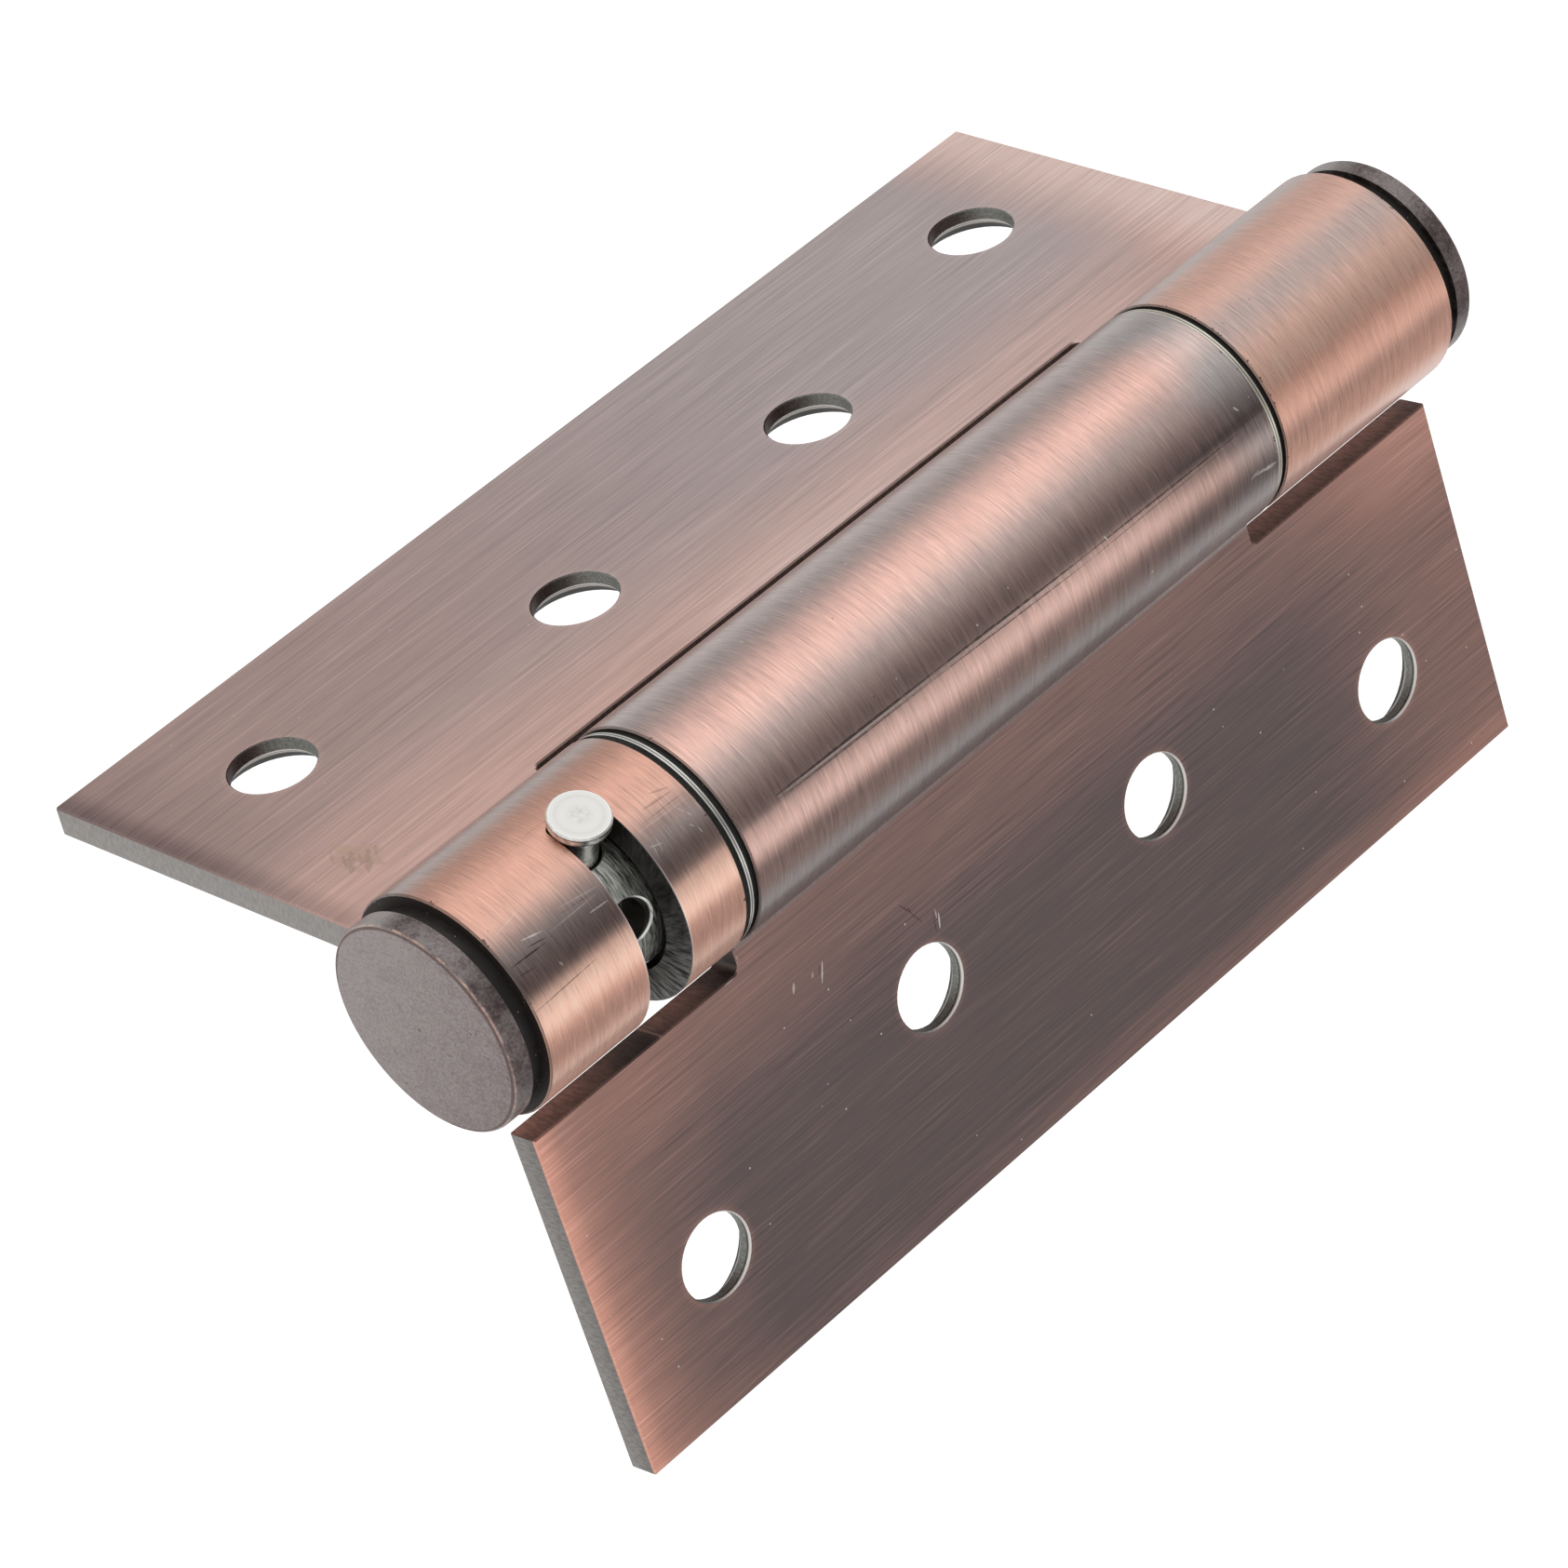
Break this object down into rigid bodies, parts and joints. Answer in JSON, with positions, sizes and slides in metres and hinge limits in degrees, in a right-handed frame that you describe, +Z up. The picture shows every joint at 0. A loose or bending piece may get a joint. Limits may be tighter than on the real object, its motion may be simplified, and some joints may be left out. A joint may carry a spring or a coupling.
{
  "type": "spring loaded door hinge",
  "caption": "Rolled-sheet door hinge with a torsion spring in its barrel, a slotted top knuckle and a tension pin that sets the closing force.",
  "frame": {"origin": "on the frame leaf's mounting face, midway between its four screw holes", "axes": "+Z up along the pin axis, towards the slotted knuckle; -Y out of the frame leaf's mounting face; +X from the pin axis towards the frame leaf's outer edge. The pin axis stands at x = -26.1 mm, y = 3.5 mm"},
  "size_m": [0.05, 0.0507, 0.1062],
  "materials": {
    "plated_leaf": "antique copper plated sheet steel, brushed along the leaves and round the knuckles",
    "plated_cap": "antique copper plated steel, satin, darker on the rim",
    "turned_steel": "bare turned steel with tool marks",
    "bright_pin": "bright satin steel",
    "bright_washer": "bright rolled steel",
    "spring_wire": "oil-tempered dark spring wire",
    "black_nylon": "moulded black nylon"
  },
  "bodies": {
    "frame_side": {"frame_leaf": "plated_leaf", "top_end_cap": "plated_cap", "bottom_end_cap": "plated_cap", "top_knuckle_bush": "black_nylon", "bottom_knuckle_bush": "black_nylon", "top_thrust_washer": "bright_washer"},
    "door_side": {"door_leaf": "plated_leaf", "barrel_bush": "black_nylon", "anchor_plug": "turned_steel", "bottom_thrust_washer": "bright_washer", "torsion_spring": "spring_wire"},
    "spindle": {"adjusting_spindle": "turned_steel"},
    "pin": {"tension_pin": "bright_pin"}
  },
  "joints": [
    {"name": "leaf_hinge", "type": "hinge", "parent": "frame_side", "child": "door_side", "pos_m": [-0.0261, 0.0035, 0], "axis": [0, 0, 1], "range_deg": [-95, 85], "stiffness_Nm_per_rad": 0.65, "deforming": ["torsion_spring"]},
    {"name": "spindle_turn", "type": "hinge", "parent": "frame_side", "child": "spindle", "pos_m": [-0.0261, 0.0035, 0.03785], "axis": [0, 0, -1], "range_deg": [0, 138.2], "stiffness_Nm_per_rad": 0.05, "deforming": ["torsion_spring"]},
    {"name": "pin_pull", "type": "slide", "parent": "spindle", "child": "pin", "axis": [-0.3551, -0.9348, 0], "range_m": [0, 0.006]}
  ]
}
